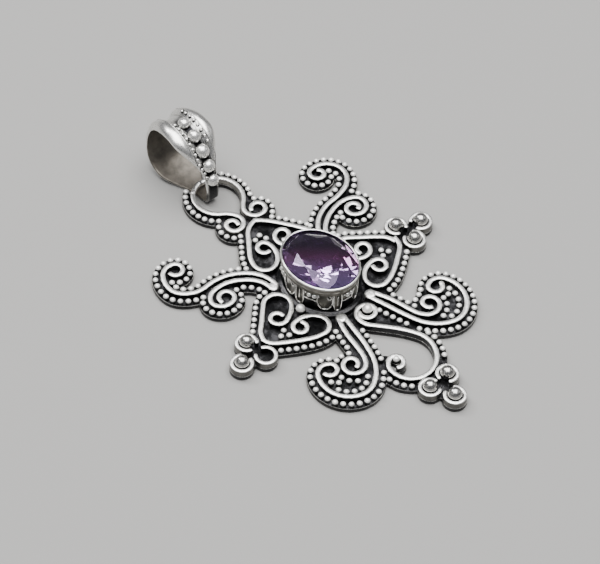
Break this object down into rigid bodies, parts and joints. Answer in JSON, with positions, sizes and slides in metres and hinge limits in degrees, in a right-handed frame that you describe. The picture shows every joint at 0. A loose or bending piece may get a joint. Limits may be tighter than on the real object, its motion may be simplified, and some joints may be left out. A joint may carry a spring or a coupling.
{
  "type": "gemstone pendant",
  "caption": "Silver pendant with a bezel-set oval faceted purple stone amid scrolls of flattened wire edged with granules, and a hollow bail that swings on its top loop.",
  "frame": {"origin": "where the long axis and the cross axis of the pendant meet, on its flat back", "axes": "+Z out of the front, +Y toward the bail, +X to the wearer's left"},
  "size_m": [0.0332, 0.0519, 0.0105],
  "materials": {
    "silver_frame": "polished sterling silver, oxidised dark in the recesses",
    "purple_stone": "clear faceted amethyst",
    "silver_bail": "polished sterling silver, oxidised dark in the recesses"
  },
  "bodies": {
    "pendant": {"frame": "silver_frame", "stone": "purple_stone"},
    "bail": {"bail": "silver_bail"}
  },
  "joints": [
    {"name": "bail_swing", "type": "hinge", "parent": "pendant", "child": "bail", "pos_m": [0.00025, 0.02074, 0.00116], "axis": [0.9925, -0.1219, 0], "range_deg": [-80, 50]}
  ]
}
